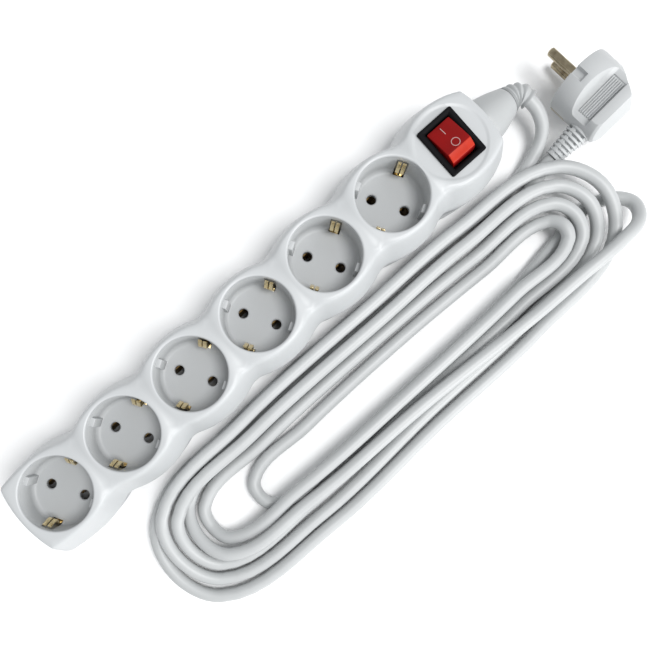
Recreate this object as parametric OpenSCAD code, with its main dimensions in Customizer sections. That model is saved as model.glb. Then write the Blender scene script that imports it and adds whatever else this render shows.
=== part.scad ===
// Six-way earthed power strip with a rocker switch, its flexible cord and an angled plug.
// Lengths are in millimetres. X runs along the strip towards the cord, Z is up from the floor.

/* [Housing] */
// Height of the housing
body_h = 40; // [39:0.5:44]
// Width across the bulge beside each socket
body_w = 56; // [54:0.5:60]
// Width at the waist between two sockets
waist_w = 47; // [45:0.5:49]
// Thickness of the housing walls
wall = 2.5; // [2:0.1:3]
// Height of the base tray, up to the split line
base_h = 7; // [6:0.25:8]
// Distance from the first socket to the end of the housing
end_margin = 29; // [28:0.5:34]
// How far the rounded corners reach past the flat ends
end_round = 5; // [4:0.5:7]
// Height at which the housing is widest
slope_z = 20; // [18:0.5:22]
// How far the sides draw in for each millimetre above that height
slope_rate = 0.275; // [0.2:0.005:0.29]
// How far they draw in for each millimetre below it
under_rate = 0.15; // [0.1:0.005:0.16]
// Radius of the bosses that take the housing screws
boss_r = 3.2; // [3:0.1:3.4]
// Shank radius of the housing screws
screw_r = 1.5; // [1.2:0.1:1.6]
// Head radius of the housing screws
screw_head_r = 2.8; // [2.4:0.1:3]
// Head height of the housing screws
screw_head_h = 1.8; // [1.4:0.1:2.2]
// Radius of the round end of a wall-hanging keyhole
keyhole_r = 4; // [3.5:0.1:4.5]
// Width of the keyhole's slot
keyhole_slot = 4; // [3:0.1:4.4]

/* [Sockets] */
// Distance between neighbouring sockets
socket_pitch = 46.5; // [46:0.25:52]
// Diameter of the socket recess
recess_d = 39; // [38.5:0.1:39.4]
// Depth of the socket recess
recess_depth = 17.5; // [17:0.1:18]
// Distance between the two pin holes
pin_pitch = 19; // [18.5:0.1:19.5]
// Diameter of a pin hole
pin_hole_d = 5.4; // [5.2:0.1:5.8]
// Direction of the line through the pin holes
socket_turn = -60; // [-70:1:-50]
// Wall thickness of a socket cup
cup_wall = 1.5; // [1.4:0.1:1.6]
// Thickness of the cup's floor
cup_floor = 3; // [2.5:0.1:3.5]
// Width of the guide rib beside each pin hole
rib_w = 4.6; // [4:0.1:5]
// Reach of the guide rib into the recess
rib_reach = 1.6; // [1:0.1:2]

/* [Contacts] */
// Thickness of the contact bars
bar_t = 1; // [0.8:0.1:1.2]
// Height of the contact bars
bar_h = 12; // [10:0.5:12.5]
// Height at which the contact bars stand
bar_z = 5; // [4.5:0.25:5.5]
// Gap between the two leaves that grip a pin
leaf_gap = 4.9; // [4.85:0.05:5]
// Length of a leaf along the bar
leaf_l = 6; // [5:0.25:7]
// Thickness of the earth strip
earth_t = 0.8; // [0.6:0.1:0.9]
// Width of the earth clips
clip_w = 4.5; // [4:0.1:5]
// Width of the earth bar
earth_bar_w = 5; // [4:0.25:5.5]
// Radius of an insulated wire
wire_r = 1.2; // [1:0.1:1.3]

/* [Switch] */
// Distance from the last socket to the switch
switch_gap = 40.3; // [39:0.1:46]
// Distance from the switch to the end of the housing
switch_margin = 30.2; // [29.5:0.1:36]
// Length of the bezel, across the strip
bezel_l = 29; // [28.5:0.25:31]
// Width of the bezel, along the strip
bezel_w = 22.6; // [22:0.2:24]
// Height of the bezel
bezel_h = 2; // [1.5:0.1:2.5]
// Depth of the round seat that the bezel lies in
plate_drop = 0.4; // [0.2:0.1:0.8]
// Depth of the switch box below its bezel
switch_depth = 18; // [17.5:0.25:18.5]
// Length of the rocker, across the strip
rocker_l = 20.4; // [19:0.2:21]
// Width of the rocker, along the strip
rocker_w = 15.2; // [14:0.2:15.6]
// Tilt of the rocker to each side
rocker_tilt = 11; // [9:0.5:12]
// Radius of the rocker's pivot pins
pivot_r = 1.5; // [1.2:0.1:1.7]
// Radius of the sprung plunger
plunger_r = 1.5; // [1.3:0.1:1.7]
// Tilt of the contact lever to each side
lever_tilt = 6; // [4:0.5:6]

/* [Cord] */
// Diameter of the cord
cord_d = 7.5; // [6.5:0.1:7.5]
// Height of the cord where it leaves the housing
exit_z = 17; // [16.5:0.25:18]
// Radius of the boot at the housing
boot_r = 13.6; // [12:0.2:14]
// Radius of the boot where the bend relief starts
boot_tip_r = 8.4; // [7.5:0.1:9]
// Length of the boot outside the housing
boot_l = 18; // [16:0.5:20]
// Radius of the bend relief's ribs at its thick end
relief_r = 8; // [7.2:0.1:8.4]
// Radius of the bend relief's ribs at its thin end
relief_tip_r = 5.6; // [5:0.1:6]

/* [Plug] */
// Diameter of the plug's face
plug_d = 36; // [35:0.5:38]
// Depth of the round front of the plug
plug_front = 13.5; // [13:0.5:15]
// Whole depth of the plug behind its face
plug_depth = 31; // [30.5:0.5:33]
// Reach of the plug's back on the side away from the cord
plug_back = 9; // [8:0.5:11]
// Diameter of the plug's pins
plug_pin_d = 4.8; // [4.7:0.05:4.85]
// Length of the plug's pins
plug_pin_l = 19; // [18.5:0.1:19.5]
// Length of the plug's strain relief
plug_relief_l = 22; // [20:0.5:22]

/* [Hidden] */
$fn = 72;

// Clearances
fit_gap = 0.2;
run_gap = 0.05;
rocker_gap = 0.3;
slack = 0.1;
over = 1;

// Places along the strip
sockets = 6;
body_l = end_margin + (sockets - 1) * socket_pitch + switch_gap + switch_margin;
end_x = body_l / 2;
first_x = -end_x + end_margin;
last_x = first_x + (sockets - 1) * socket_pitch;
switch_x = last_x + switch_gap;
function socket_x(i) = first_x + i * socket_pitch;
function waist_x(i) = first_x + (i + 0.5) * socket_pitch;
neck_x = last_x + switch_gap / 2;

// Heights
cover_in_z = body_h - wall;
recess_z = body_h - recess_depth;
cup_z = recess_z - cup_floor;
strap_z = cup_z - earth_t;
earth_z = strap_z - earth_t;

// Scalloped outline: arcs of one radius bulge beside each socket
bulge_half = socket_pitch / 2;
bulge_rise = (body_w - waist_w) / 2;
bulge_r = (bulge_half ^ 2 + bulge_rise ^ 2) / (2 * bulge_rise);
end_arc = 75;

// Socket cups
recess_r = recess_d / 2;
cup_r = recess_r + cup_wall;
pin_x = pin_pitch / 2 * cos(socket_turn);
pin_y = -pin_pitch / 2 * sin(socket_turn);
finger_y = recess_r - 0.6;
slot_w = clip_w + 1.9;
slot_in = 3.2;
slot_out = 0.8;
slot_top = cover_in_z - 1.5;
rib_h = 10;

// Housing screws, in pairs at the waists
screw_y = waist_w / 2 - under_rate * slope_z - boss_r - 0.3;
screw_waists = [0, 2, 4];
screw_l = 16;
keyhole_sockets = [1, 4];
keyhole_run = 7;

// Contact bars beside the pin holes
leaf_y = pin_y - leaf_gap / 2;
bar_y = pin_y + leaf_gap / 2;
rest_t = 3;

// Switch
plate_z = body_h - plate_drop;
pivot_z = plate_z - 1.6;
seat_r = norm([bezel_w, bezel_l]) / 2 + fit_gap;
box_w = bezel_w - 2;
box_l = bezel_l - 2;
box_z = plate_z - switch_depth;
box_floor = 2;
rocker_top = 5;
rocker_drop = 4;
rocker_arc = norm([rocker_l / 2, rocker_top]) - 0.15;
pivot_l = 1.6;
stem_r = 2.8;
stem_z = -8.5;
plunger_tip = -11;
plunger_top = -3.2;
spring_top = 1;
spring_t = 0.5;
lever_t = 0.8;
lever_l = 16;
lever_w = 5;
lever_top_z = pivot_z + plunger_tip - 0.4;
lever_under_z = lever_top_z - lever_t;
lever_pivot_z = lever_under_z - 0.3;
button_r = 1.2;
button_h = 0.8;
button_y = lever_l / 2 - 1;
tab_w = 5;
tab_t = 2.4;
tab_z = box_z - 8;
side_tab_top = lever_under_z - button_h - button_y * sin(lever_tilt) - 0.4;

// Cord entry
cord_r = cord_d / 2;
collar_r = 9;
collar_flange_r = 10.6;
collar_flange_t = 2.5;
stub_l = 11;
clamp_l = 5;
clamp_w = 22;
clamp_t = 2.5;
clamp_screw_y = 8;
clamp_screw_r = 1.2;
clamp_screw_head_r = 2.2;
clamp_screw_head_h = 1.6;
stub_end_x = end_x - wall - collar_flange_t;
stub_start_x = stub_end_x - stub_l;
clamp_x = stub_end_x - stub_l / 2;
live_z = box_z - 2.7;
core_gap = 0.2;
core_y = 2 * wire_r + core_gap;
core_z = exit_z - 1.7;
earth_wire_z = 10;
neutral_turn_x = stub_start_x - 4;
earth_drop_x = stub_start_x - 3;
earth_rise_x = last_x + socket_pitch / 2 - 1.5;

// Plug, lying on its rim with the cord side down
plug_r = plug_d / 2;
plug_pitch = 11;
plug_roll = 26;
plug_yaw = -2;
plug_lift = 0.1;
plug_at = [end_x + 54.5, -16.3, plug_r * cos(plug_pitch) + plug_lift];
plug_cord_z = -22;
plug_relief_x = 13;
plug_relief_r = 6.6;
plug_relief_tip = 5;
plug_ribs = 6;
pin_root = 8;
pin_root_r = plug_pin_d / 2 - 0.4;
groove_w = 5;
groove_in = 2.6;
strip_w = 4.4;
strip_t = 0.8;
strip_l = 11;
groove_l = 10;
grip_y = 10.5;
grip_start = plug_front + 3;
grip_end = plug_depth - 6.5;
end_wall_y = 13.5;
grip_w = 22;
grip_t = 1.2;
grip_ribs = 5;
grip_rib_h = 0.9;
tail_end = plug_relief_x + plug_relief_l;

// Turns a point of the plug's own frame into the strip's frame
function turn_x(p, a) = [p.x, p.y * cos(a) - p.z * sin(a), p.y * sin(a) + p.z * cos(a)];
function turn_z(p, a) = [p.x * cos(a) - p.y * sin(a), p.x * sin(a) + p.y * cos(a), p.z];
function plug_point(p) = plug_at + turn_z(turn_x(turn_z(p, 180 - plug_roll), -90 - plug_pitch), plug_yaw);

// Cord route: a lead from the strip, loops beside it, and a tail to the plug
layer_h = 8.2;
lift = 0.1;
loop_sides = 6;
lead_sides = 8;
steps = 2;
function level(n) = cord_r + lift + (n - 1) * layer_h;
// Lead and relief are measured from the boot's tip, the loops from the housing's end and its side
boot_tip = [end_x + boot_l, 0, exit_z];
corner = [end_x + 0.5, 0.5 - body_w / 2, 0];
function from(base, list) = [for (p = list) base + p];
relief_pts = from(boot_tip, [[0.1, 0, 0], [2.6, 0, 0], [5.6, -0.6, 0], [8.6, -2.6, -0.1], [10.6, -7.4, -0.6]]);
lead_pts = from(boot_tip, [[11, -14, -1.8], [9.4, -22, -5], [4.4, -28.2, -9],
                           [-4.8, -32.4, -11.8], [-17, -35.6, -13.2]]);
lead_end = [-16.5, -8.9];
tail_end_y = -17.3;
tail_pts = from(corner, [[7.5, -16.1, 3.85]]);
// Places of each turn: left run at three stations, right run at three, ends of the loop
left_x = [-48.5, -108.5];
right_x = [-126.5, -46.5];
low_x = [-210.5, -210.5, -210.5, -210.5, -184.5, -210.5];
left_y = [[-7.5, -5.7, -5.9], [-6.9, -6.5, -7.5], [-16.5, -16.1, -16.5],
          [-25.1, -23.1, -23.9], [-33.9, -31.9, -33.1], [-16.1, -14.3, -14.7]];
right_y = [[-85.4, -82.5, -80.6], [-77.1, -73.9, -71.9], [-68.1, -65.5, -63.5],
           [-57.1, -57.5, -55.5], [-58.1, -56.9, -54.9], [-65.9, -67.5, -71.7]];
left_level = [1, 2.05, 2.05, 1, 1, 1];
right_level = [1, 1, 1, 2.05, 1, 2.05];
bottom_x = [-296.5, -288, -279.5, -262.5, -230.5, -271];
bottom_level = [[1, 1, 1], [2.05, 1.5, 1], [2.05, 1.5, 1], [1, 1, 1.5], [1, 1, 1], [1, 1.6, 2.05]];
top_x = [28.5, 17.5, 7, -2];
top_level = [[1.45, 2.25, 2.15], [1.4, 2.15, 2.15], [1.9, 2.1, 2.05], [2.1, 2.1, 1.6]];
top_stretch = 1.1;
// The bight where the winding turns back
bight_pts = from(corner, [[-6.5, -49.5, 3.85], [19.5, -46.5, 3.85], [33.5, -51.9, 4.6], [38.5, -61, 8],
             [31.5, -69.9, 13.6], [13.5, -72.1, 16.6], [-14.5, -71.9, 14.6]]);

function turn_end(ya, yb, apex, reach, levels) =
    [for (k = [0 : 2]) let (a = 45 * (k + 1))
        corner + [apex - reach * (1 - sin(a)), (ya + yb) / 2 + (ya - yb) / 2 * cos(a), level(levels[k])]];
function left_run(t) =
    [for (k = [0 : 2]) corner + [k < 2 ? left_x[k] : low_x[t], left_y[t][k], level(left_level[t])]];
function right_run(t) =
    [for (k = [0 : 2]) corner + [k > 0 ? right_x[k - 1] : low_x[t], right_y[t][k], level(right_level[t])]];
function bottom_end(t) =
    turn_end(left_y[t][2], right_y[t][0], bottom_x[t], -(left_y[t][2] - right_y[t][0]) / 2, bottom_level[t]);
function top_end(t) =
    turn_end(right_y[t][2], left_y[t + 1][0], top_x[t],
             top_stretch * (left_y[t + 1][0] - right_y[t][2]) / 2, top_level[t]);
function reversed(p) = [for (i = [len(p) - 1 : -1 : 0]) p[i]];
function one_turn(t) = concat(left_run(t), bottom_end(t), right_run(t), t < 4 ? top_end(t) : bight_pts);
function loop_points() =
    concat([for (t = [0 : 4]) each one_turn(t)], reversed(concat(left_run(5), bottom_end(5), right_run(5))));
tail_tip = plug_point([tail_end + slack, 0, plug_cord_z]);
tail_straight = plug_point([tail_end + cord_d, 0, plug_cord_z]);
loop_start = corner + [lead_end.x, lead_end.y, level(1)];
loop_end = corner + [lead_end.x, tail_end_y, level(1)];
route = concat([relief_pts[len(relief_pts) - 1]], lead_pts, [loop_start], loop_points(), [loop_end], tail_pts,
               [tail_straight, tail_tip]);
lead_count = len(lead_pts) + 1;
tail_count = len(tail_pts) + 2;

// Smooth curve through the points, resting on the floor
function unit(v) = v / norm(v);
function heading(p, i) =
    i == 0 ? unit(p[1] - p[0])
    : i == len(p) - 1 ? unit(p[i] - p[i - 1])
    : unit(unit(p[i] - p[i - 1]) + unit(p[i + 1] - p[i]));
function blend(a, b, ta, tb, s) = let (d = norm(b - a))
    (2 * s ^ 3 - 3 * s ^ 2 + 1) * a + (s ^ 3 - 2 * s ^ 2 + s) * d * ta
    + (3 * s ^ 2 - 2 * s ^ 3) * b + (s ^ 3 - s ^ 2) * d * tb;
function rest_on_floor(p) = [p.x, p.y, max(p.z, level(1))];
function smooth(p, n) = concat(
    [for (i = [0 : len(p) - 2]) for (k = [0 : n - 1])
        rest_on_floor(blend(p[i], p[i + 1], heading(p, i), heading(p, i + 1), k / n))],
    [p[len(p) - 1]]);
function part_of(p, a, b) = [for (i = [a : b]) p[i]];
path = smooth(route, steps);
lead_last = lead_count * steps;
tail_first = len(path) - 1 - tail_count * steps;

// Tube swept along a path, with a radius for each ring
function ring(p, t, r, sides) = let (side = unit(cross(t, [0, 0, 1])), up = cross(side, t))
    [for (k = [0 : sides - 1]) let (a = 360 * k / sides) p + r * (cos(a) * up + sin(a) * side)];
function tube_points(p, dirs, radii, sides) =
    [for (i = [0 : len(p) - 1]) each ring(p[i], dirs[i], radii[i], sides)];
function tube_faces(rings, sides) = concat(
    [for (i = [0 : rings - 2]) for (k = [0 : sides - 1]) let (n = (k + 1) % sides, a = i * sides, b = a + sides)
        each [[a + k, b + k, a + n], [a + n, b + k, b + n]]],
    [for (k = [1 : sides - 2]) [0, k, k + 1]],
    [for (k = [1 : sides - 2]) let (a = (rings - 1) * sides) [a, a + k + 1, a + k]]);
module tube(p, dirs, radii, sides) {
    polyhedron(tube_points(p, dirs, radii, sides), tube_faces(len(p), sides), 10);
}
all_dirs = [for (i = [0 : len(path) - 1]) heading(path, i)];
module cord(a, b, sides) {
    tube(part_of(path, a, b), part_of(all_dirs, a, b), [for (i = [a : b]) cord_r], sides);
}

// Least gap between stretches of the cord, from points to the straight pieces between points
function piece_gap(p, a, b) = let (s = min(1, max(0, (p - a) * (b - a) / ((b - a) * (b - a)))))
    norm(p - a - s * (b - a));
function least_gap(p, skip) = min([for (i = [0 : len(p) - 1]) for (j = [0 : len(p) - 2])
    if (abs(i - j) > skip && abs(i - j - 1) > skip) piece_gap(p[i], p[j], p[j + 1])]) - cord_d;
function path_length(p) = let (d = [for (i = [0 : len(p) - 2]) norm(p[i + 1] - p[i])])
    d * [for (i = d) 1];
union() {  // cord_loops
    fine = smooth(route, 6);
    echo(cord_length = path_length(fine), least_gap = least_gap(fine, 12));
}

module slab(x, y, z, w, l, h) {
    translate([x - w / 2, y - l / 2, z]) cube([w, l, h]);
}

module span(low, high) {
    translate(low) cube(high - low);
}

module rod_x(x0, x1, y, z, r) {
    translate([x0, y, z]) rotate([0, 90, 0]) cylinder(r = r, h = x1 - x0);
}

module rod_y(x, y0, y1, z, r) {
    translate([x, y0, z]) rotate([-90, 0, 0]) cylinder(r = r, h = y1 - y0);
}

module rod_z(x, y, z0, z1, r) {
    translate([x, y, z0]) cylinder(r = r, h = z1 - z0);
}

// One cell of the outline, drawn in by inset from the housing's side
module cell(cx, x0, x1, inset) {
    intersection() {
        translate([cx, bulge_r - body_w / 2]) circle(r = bulge_r - inset, $fn = 180);
        translate([cx, body_w / 2 - bulge_r]) circle(r = bulge_r - inset, $fn = 180);
        translate([x0, -body_w / 2]) square([x1 - x0, body_w]);
    }
}

module cells(inset) {
    intersection() {
        cell(first_x, -end_x, waist_x(0), inset);
        translate([first_x, 0]) circle(r = end_margin + end_round - inset);
        translate([end_arc - end_x, 0]) circle(r = end_arc - inset);
    }
    for (i = [1 : sockets - 2]) cell(socket_x(i), waist_x(i - 1), waist_x(i), inset);
    cell(last_x, waist_x(sockets - 2), neck_x, inset);
    intersection() {
        cell(switch_x, neck_x, end_x, inset);
        translate([switch_x, 0]) circle(r = switch_margin + end_round - inset);
        translate([end_x - end_arc, 0]) circle(r = end_arc - inset);
    }
}

// The same cells with sloping sides, each arc standing as a cone from inset a below to inset b at height h
module slope(x, y, r, a, b, h) {
    translate([x, y, 0]) cylinder(r1 = r - a, r2 = r - b, h = h);
}

module sloped_cell(cx, x0, x1, a, b, h) {
    intersection() {
        slope(cx, bulge_r - body_w / 2, bulge_r, a, b, h);
        slope(cx, body_w / 2 - bulge_r, bulge_r, a, b, h);
        translate([x0, -body_w / 2, 0]) cube([x1 - x0, body_w, h]);
    }
}

module sloped_cells(a, b, h) {
    intersection() {
        sloped_cell(first_x, -end_x, waist_x(0), a, b, h);
        slope(first_x, 0, end_margin + end_round, a, b, h);
        slope(end_arc - end_x, 0, end_arc, a, b, h);
    }
    for (i = [1 : sockets - 2]) sloped_cell(socket_x(i), waist_x(i - 1), waist_x(i), a, b, h);
    sloped_cell(last_x, waist_x(sockets - 2), neck_x, a, b, h);
    intersection() {
        sloped_cell(switch_x, neck_x, end_x, a, b, h);
        slope(switch_x, 0, switch_margin + end_round, a, b, h);
        slope(end_x - end_arc, 0, end_arc, a, b, h);
    }
}

// The sides below the widest line, between two heights
module under(inset, z0, z1) {
    translate([0, 0, z0])
        sloped_cells(inset + under_rate * (slope_z - z0), inset + under_rate * (slope_z - z1), z1 - z0);
}

module screw_places() {
    for (i = screw_waists) for (s = [-1, 1]) translate([waist_x(i), s * screw_y, 0]) children();
}

module keyhole() {
    translate([0, 0, -over]) cylinder(r = keyhole_r, h = wall + 2 * over);
    translate([0, -keyhole_slot / 2, -over]) cube([keyhole_run, keyhole_slot, wall + 2 * over]);
    translate([keyhole_run, 0, -over]) cylinder(r = keyhole_slot / 2, h = wall + 2 * over);
}

// Rib that carries the three contact bars at a waist
module bar_rest(x) {
    rest_l = 2 * (bar_y + bar_t);
    slab(x, 0, wall - slack, rest_t, rest_l, bar_z - wall + slack);
    slab(x, 0, wall - slack, rest_t, earth_bar_w, earth_z - wall + slack);
}

module base_tray() color("whitesmoke") difference() {
    union() {
        difference() {
            under(0, 0, base_h);
            under(wall, wall, base_h + over);
        }
        screw_places() cylinder(r = boss_r, h = base_h);
        for (i = [0 : sockets - 2]) bar_rest(waist_x(i));
        slab(clamp_x, 0, wall - slack, clamp_l, clamp_w, exit_z - cord_r - wall + slack);
    }
    screw_places() {
        translate([0, 0, -over]) cylinder(r = screw_r + fit_gap, h = base_h + 2 * over);
        translate([0, 0, -over]) cylinder(r = screw_head_r + fit_gap, h = screw_head_h + over);
    }
    for (i = keyhole_sockets) translate([socket_x(i), 0, 0]) keyhole();
    for (s = [-1, 1]) rod_z(clamp_x, s * clamp_screw_y, wall, exit_z, clamp_screw_r + run_gap);
}

// Walls up to the roof, and a rounded top edge in thin steps on a quarter circle
slope_h = cover_in_z - slope_z;
edge_angles = [0, 24, 44, 62, 90];
module walls(inset, from_z) {
    under(inset, from_z, slope_z);
    translate([0, 0, slope_z]) sloped_cells(inset, inset + slope_rate * slope_h, slope_h);
}

module roof() {
    for (k = [0 : len(edge_angles) - 2]) {
        low = wall * sin(edge_angles[k]);
        high = wall * sin(edge_angles[k + 1]);
        inset = slope_rate * slope_h + wall * (1 - cos((edge_angles[k] + edge_angles[k + 1]) / 2));
        sink = k > 0 ? slack : 0;
        translate([0, 0, cover_in_z + low - sink]) linear_extrude(high - low + sink) cells(inset);
    }
}

module top_cover() color("white") difference() {
    union() {
        difference() {
            union() {
                walls(0, base_h);
                intersection() {
                    rod_x(end_x - boot_r, end_x, 0, exit_z, boot_r);
                    slab(end_x, 0, base_h, body_w, body_w, body_h);
                }
            }
            walls(wall, base_h - over);
        }
        roof();
        screw_places() translate([0, 0, base_h])
            cylinder(r = boss_r, h = screw_head_h + screw_l + wall - base_h);
    }
    for (i = [0 : sockets - 1]) {
        rod_z(socket_x(i), 0, cup_z - over, cover_in_z, cup_r + fit_gap);
        rod_z(socket_x(i), 0, cover_in_z - over, body_h + over, recess_r);
    }
    rod_z(switch_x, 0, plate_z, body_h + over, seat_r);
    slab(switch_x, 0, cover_in_z - over, box_w + 2 * slack, box_l + 2 * slack, wall + 2 * over);
    rod_x(stub_end_x - over, end_x - wall, 0, exit_z, collar_flange_r + fit_gap);
    rod_x(end_x - wall - over, end_x + over, 0, exit_z, collar_r + fit_gap);
    screw_places() rod_z(0, 0, base_h - over, screw_head_h + screw_l, screw_r + run_gap);
}

module housing_screws() color("silver") screw_places() {
    cylinder(r = screw_head_r, h = screw_head_h);
    cylinder(r = screw_r, h = screw_head_h + screw_l - over);
}

module socket_cup(i) color("white") translate([socket_x(i), 0, 0]) rotate(socket_turn) {
    difference() {
        rod_z(0, 0, cup_z, cover_in_z, cup_r);
        rod_z(0, 0, recess_z, body_h + over, recess_r);
        for (s = [-1, 1]) {
            rod_z(s * pin_pitch / 2, 0, cup_z - over, recess_z + over, pin_hole_d / 2);
            span([-slot_w / 2, s > 0 ? recess_r - slot_in : -recess_r - slot_out, cup_z - over],
                 [slot_w / 2, s > 0 ? recess_r + slot_out : -recess_r + slot_in, slot_top]);
        }
    }
    for (s = [-1, 1])
        slab(s * (recess_r - (rib_reach - slack) / 2 + slack), 0, recess_z - slack, rib_reach + slack, rib_w,
             rib_h + slack);
}

// Earth clip: a strap under the cup with a sprung finger up each side
module finger() {
    knee = body_h - 12;
    nose = body_h - 8;
    tip = body_h - 4.5;
    bend_in = 1.8;
    rotate([90, 0, 90]) translate([0, 0, -clip_w / 2]) linear_extrude(clip_w)
        polygon([[finger_y - earth_t, strap_z], [finger_y, strap_z], [finger_y, knee],
                 [finger_y - bend_in + earth_t, nose], [finger_y, tip], [finger_y - earth_t, tip],
                 [finger_y - bend_in, nose], [finger_y - earth_t, knee]]);
}

module earth_clip(i) color("goldenrod") translate([socket_x(i), 0, 0]) rotate(socket_turn) {
    slab(0, 0, strap_z, clip_w, 2 * finger_y, earth_t);
    finger();
    mirror([0, 1, 0]) finger();
}

// Contact bar along one row of pin holes, with a gripping leaf at each hole
module contact_bar(side, x0, x1) {
    span([x0, side > 0 ? bar_y : -bar_y - bar_t, bar_z],
         [x1, side > 0 ? bar_y + bar_t : -bar_y, bar_z + bar_h]);
    for (i = [0 : sockets - 1]) {
        x = socket_x(i) - side * pin_x;
        span([x - leaf_l / 2, side > 0 ? leaf_y - bar_t : -leaf_y, bar_z],
             [x + leaf_l / 2, side > 0 ? leaf_y : -leaf_y + bar_t, bar_z + bar_h]);
        span([x + leaf_l / 2 - slack, side > 0 ? leaf_y - bar_t : -bar_y - bar_t, bar_z],
             [x + leaf_l / 2 + bar_t, side > 0 ? bar_y + bar_t : -leaf_y + bar_t, bar_z + bar_h]);
    }
}

bar_start_x = first_x - pin_x - leaf_l;
module live_bar() color("gold") contact_bar(-1, bar_start_x, switch_x + 2 * wire_r);
module neutral_bar() color("gold") contact_bar(1, bar_start_x, neutral_turn_x + wire_r);
module earth_bar() color("gold")
    span([first_x - earth_bar_w, -earth_bar_w / 2, earth_z],
         [earth_rise_x + wire_r, earth_bar_w / 2, strap_z]);

// Wires from the cord's cores to the switch and the bars
tab_x = switch_x + tab_w / 2;
module live_wire() color("saddlebrown") rod_x(tab_x, stub_start_x, 0, live_z, wire_r);
module neutral_wire() color("steelblue") {
    rod_x(neutral_turn_x, stub_start_x, core_y, core_z, wire_r);
    translate([neutral_turn_x, core_y, core_z]) sphere(r = wire_r);
    rod_y(neutral_turn_x, core_y, bar_y, core_z, wire_r);
}
module earth_wire() color("yellowgreen") {
    rod_x(earth_drop_x, stub_start_x, -core_y, core_z, wire_r);
    translate([earth_drop_x, -core_y, core_z]) sphere(r = wire_r);
    rod_z(earth_drop_x, -core_y, earth_wire_z, core_z, wire_r);
    translate([earth_drop_x, -core_y, earth_wire_z]) sphere(r = wire_r);
    rod_x(earth_rise_x, earth_drop_x, -core_y, earth_wire_z, wire_r);
    translate([earth_rise_x, -core_y, earth_wire_z]) sphere(r = wire_r);
    rod_z(earth_rise_x, -core_y, earth_wire_z, earth_z, wire_r);
}
side_tab_y = button_y;
module switched_wire() color("black")
    rod_y(switch_x, -bar_y, -side_tab_y - tab_t / 2, core_z, wire_r);

// Switch in its rectangular hole in the cover
opening_w = rocker_w + 2 * rocker_gap;
opening_l = 2 * (rocker_arc + rocker_gap);
module tabs(grow) {
    slab(switch_x, 0, tab_z, tab_w + grow, tab_t + grow, lever_pivot_z - 0.3 - tab_z);
    for (s = [-1, 1])
        slab(switch_x, s * side_tab_y, tab_z, tab_w + grow, tab_t + grow, side_tab_top - tab_z);
}

module switch_frame() color("black") difference() {
    union() {
        slab(switch_x, 0, plate_z, bezel_w, bezel_l, bezel_h);
        slab(switch_x, 0, box_z, box_w, box_l, switch_depth + slack);
    }
    slab(switch_x, 0, box_z + box_floor, opening_w, opening_l, switch_depth + bezel_h);
    pivot_hole = rocker_w / 2 + pivot_l + rocker_gap;
    rod_x(switch_x - pivot_hole, switch_x + pivot_hole, 0, pivot_z, pivot_r + run_gap);
    tabs(2 * slack);
}

module switch_terminals() color("gold") tabs(0);

// The rocker and what rides in it, drawn about its pivot and tilted to the on side
module at_rocker() {
    translate([switch_x, 0, pivot_z]) rotate([-rocker_tilt, 0, 0]) children();
}

module rocker() color("red") at_rocker() difference() {
    union() {
        rotate([90, 0, 90]) translate([0, 0, -rocker_w / 2]) linear_extrude(rocker_w) intersection() {
            circle(r = rocker_arc);
            translate([-rocker_l / 2, -rocker_drop]) square([rocker_l, rocker_drop + rocker_top]);
        }
        rod_x(-rocker_w / 2 - pivot_l, rocker_w / 2 + pivot_l, 0, 0, pivot_r);
        rod_z(0, 0, stem_z, 0, stem_r);
    }
    rod_z(0, 0, stem_z - over, spring_top, plunger_r + slack);
}

module plunger() color("ivory") at_rocker() {
    translate([0, 0, plunger_tip + plunger_r]) sphere(r = plunger_r);
    rod_z(0, 0, plunger_tip + plunger_r, plunger_top, plunger_r);
}

module plunger_spring() color("silver") at_rocker() difference() {
    rod_z(0, 0, plunger_top, spring_top, plunger_r);
    rod_z(0, 0, plunger_top - over, spring_top + over, plunger_r - spring_t);
}

module contact_lever() color("gold")
    translate([switch_x, 0, lever_pivot_z]) rotate([lever_tilt, 0, 0]) translate([0, 0, -lever_pivot_z]) {
        slab(0, 0, lever_under_z, lever_w, lever_l, lever_t);
        for (s = [-1, 1]) rod_z(0, s * button_y, lever_under_z - button_h, lever_under_z + slack, button_r);
    }

// Cord entry: sheathed end under a clamp, boot in the end wall, ribbed bend relief outside
module cord_stub() color("white") rod_x(stub_start_x, stub_end_x, 0, exit_z, cord_r);

module cord_clamp() color("lightgray") difference() {
    slab(clamp_x, 0, exit_z + cord_r, clamp_l, clamp_w, clamp_t);
    for (s = [-1, 1])
        rod_z(clamp_x, s * clamp_screw_y, exit_z, exit_z + cord_r + clamp_t + over, clamp_screw_r + run_gap);
}

module clamp_screws() color("silver") for (s = [-1, 1]) {
    top = exit_z + cord_r + clamp_t;
    rod_z(clamp_x, s * clamp_screw_y, wall + over, top, clamp_screw_r);
    rod_z(clamp_x, s * clamp_screw_y, top, top + clamp_screw_head_h, clamp_screw_head_r);
}

module cable_boot() color("white") {
    rod_x(stub_end_x, end_x - wall, 0, exit_z, collar_flange_r);
    rod_x(end_x - wall - slack, end_x + slack, 0, exit_z, collar_r);
    translate([end_x, 0, exit_z]) rotate([0, 90, 0]) cylinder(r1 = boot_r, r2 = boot_tip_r, h = boot_l);
}

relief_path = smooth(relief_pts, 6);
relief_dirs = concat([for (i = [0 : len(relief_path) - 2]) heading(relief_path, i)], [all_dirs[0]]);
rib_depth = 1.1;
function relief_radius(i) = let (s = i / (len(relief_path) - 1))
    relief_r + (relief_tip_r - relief_r) * s - (i % 4 > 1 ? rib_depth : 0);
module bend_relief() color("white")
    tube(relief_path, relief_dirs, [for (i = [0 : len(relief_path) - 1]) relief_radius(i)], 12);

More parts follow.
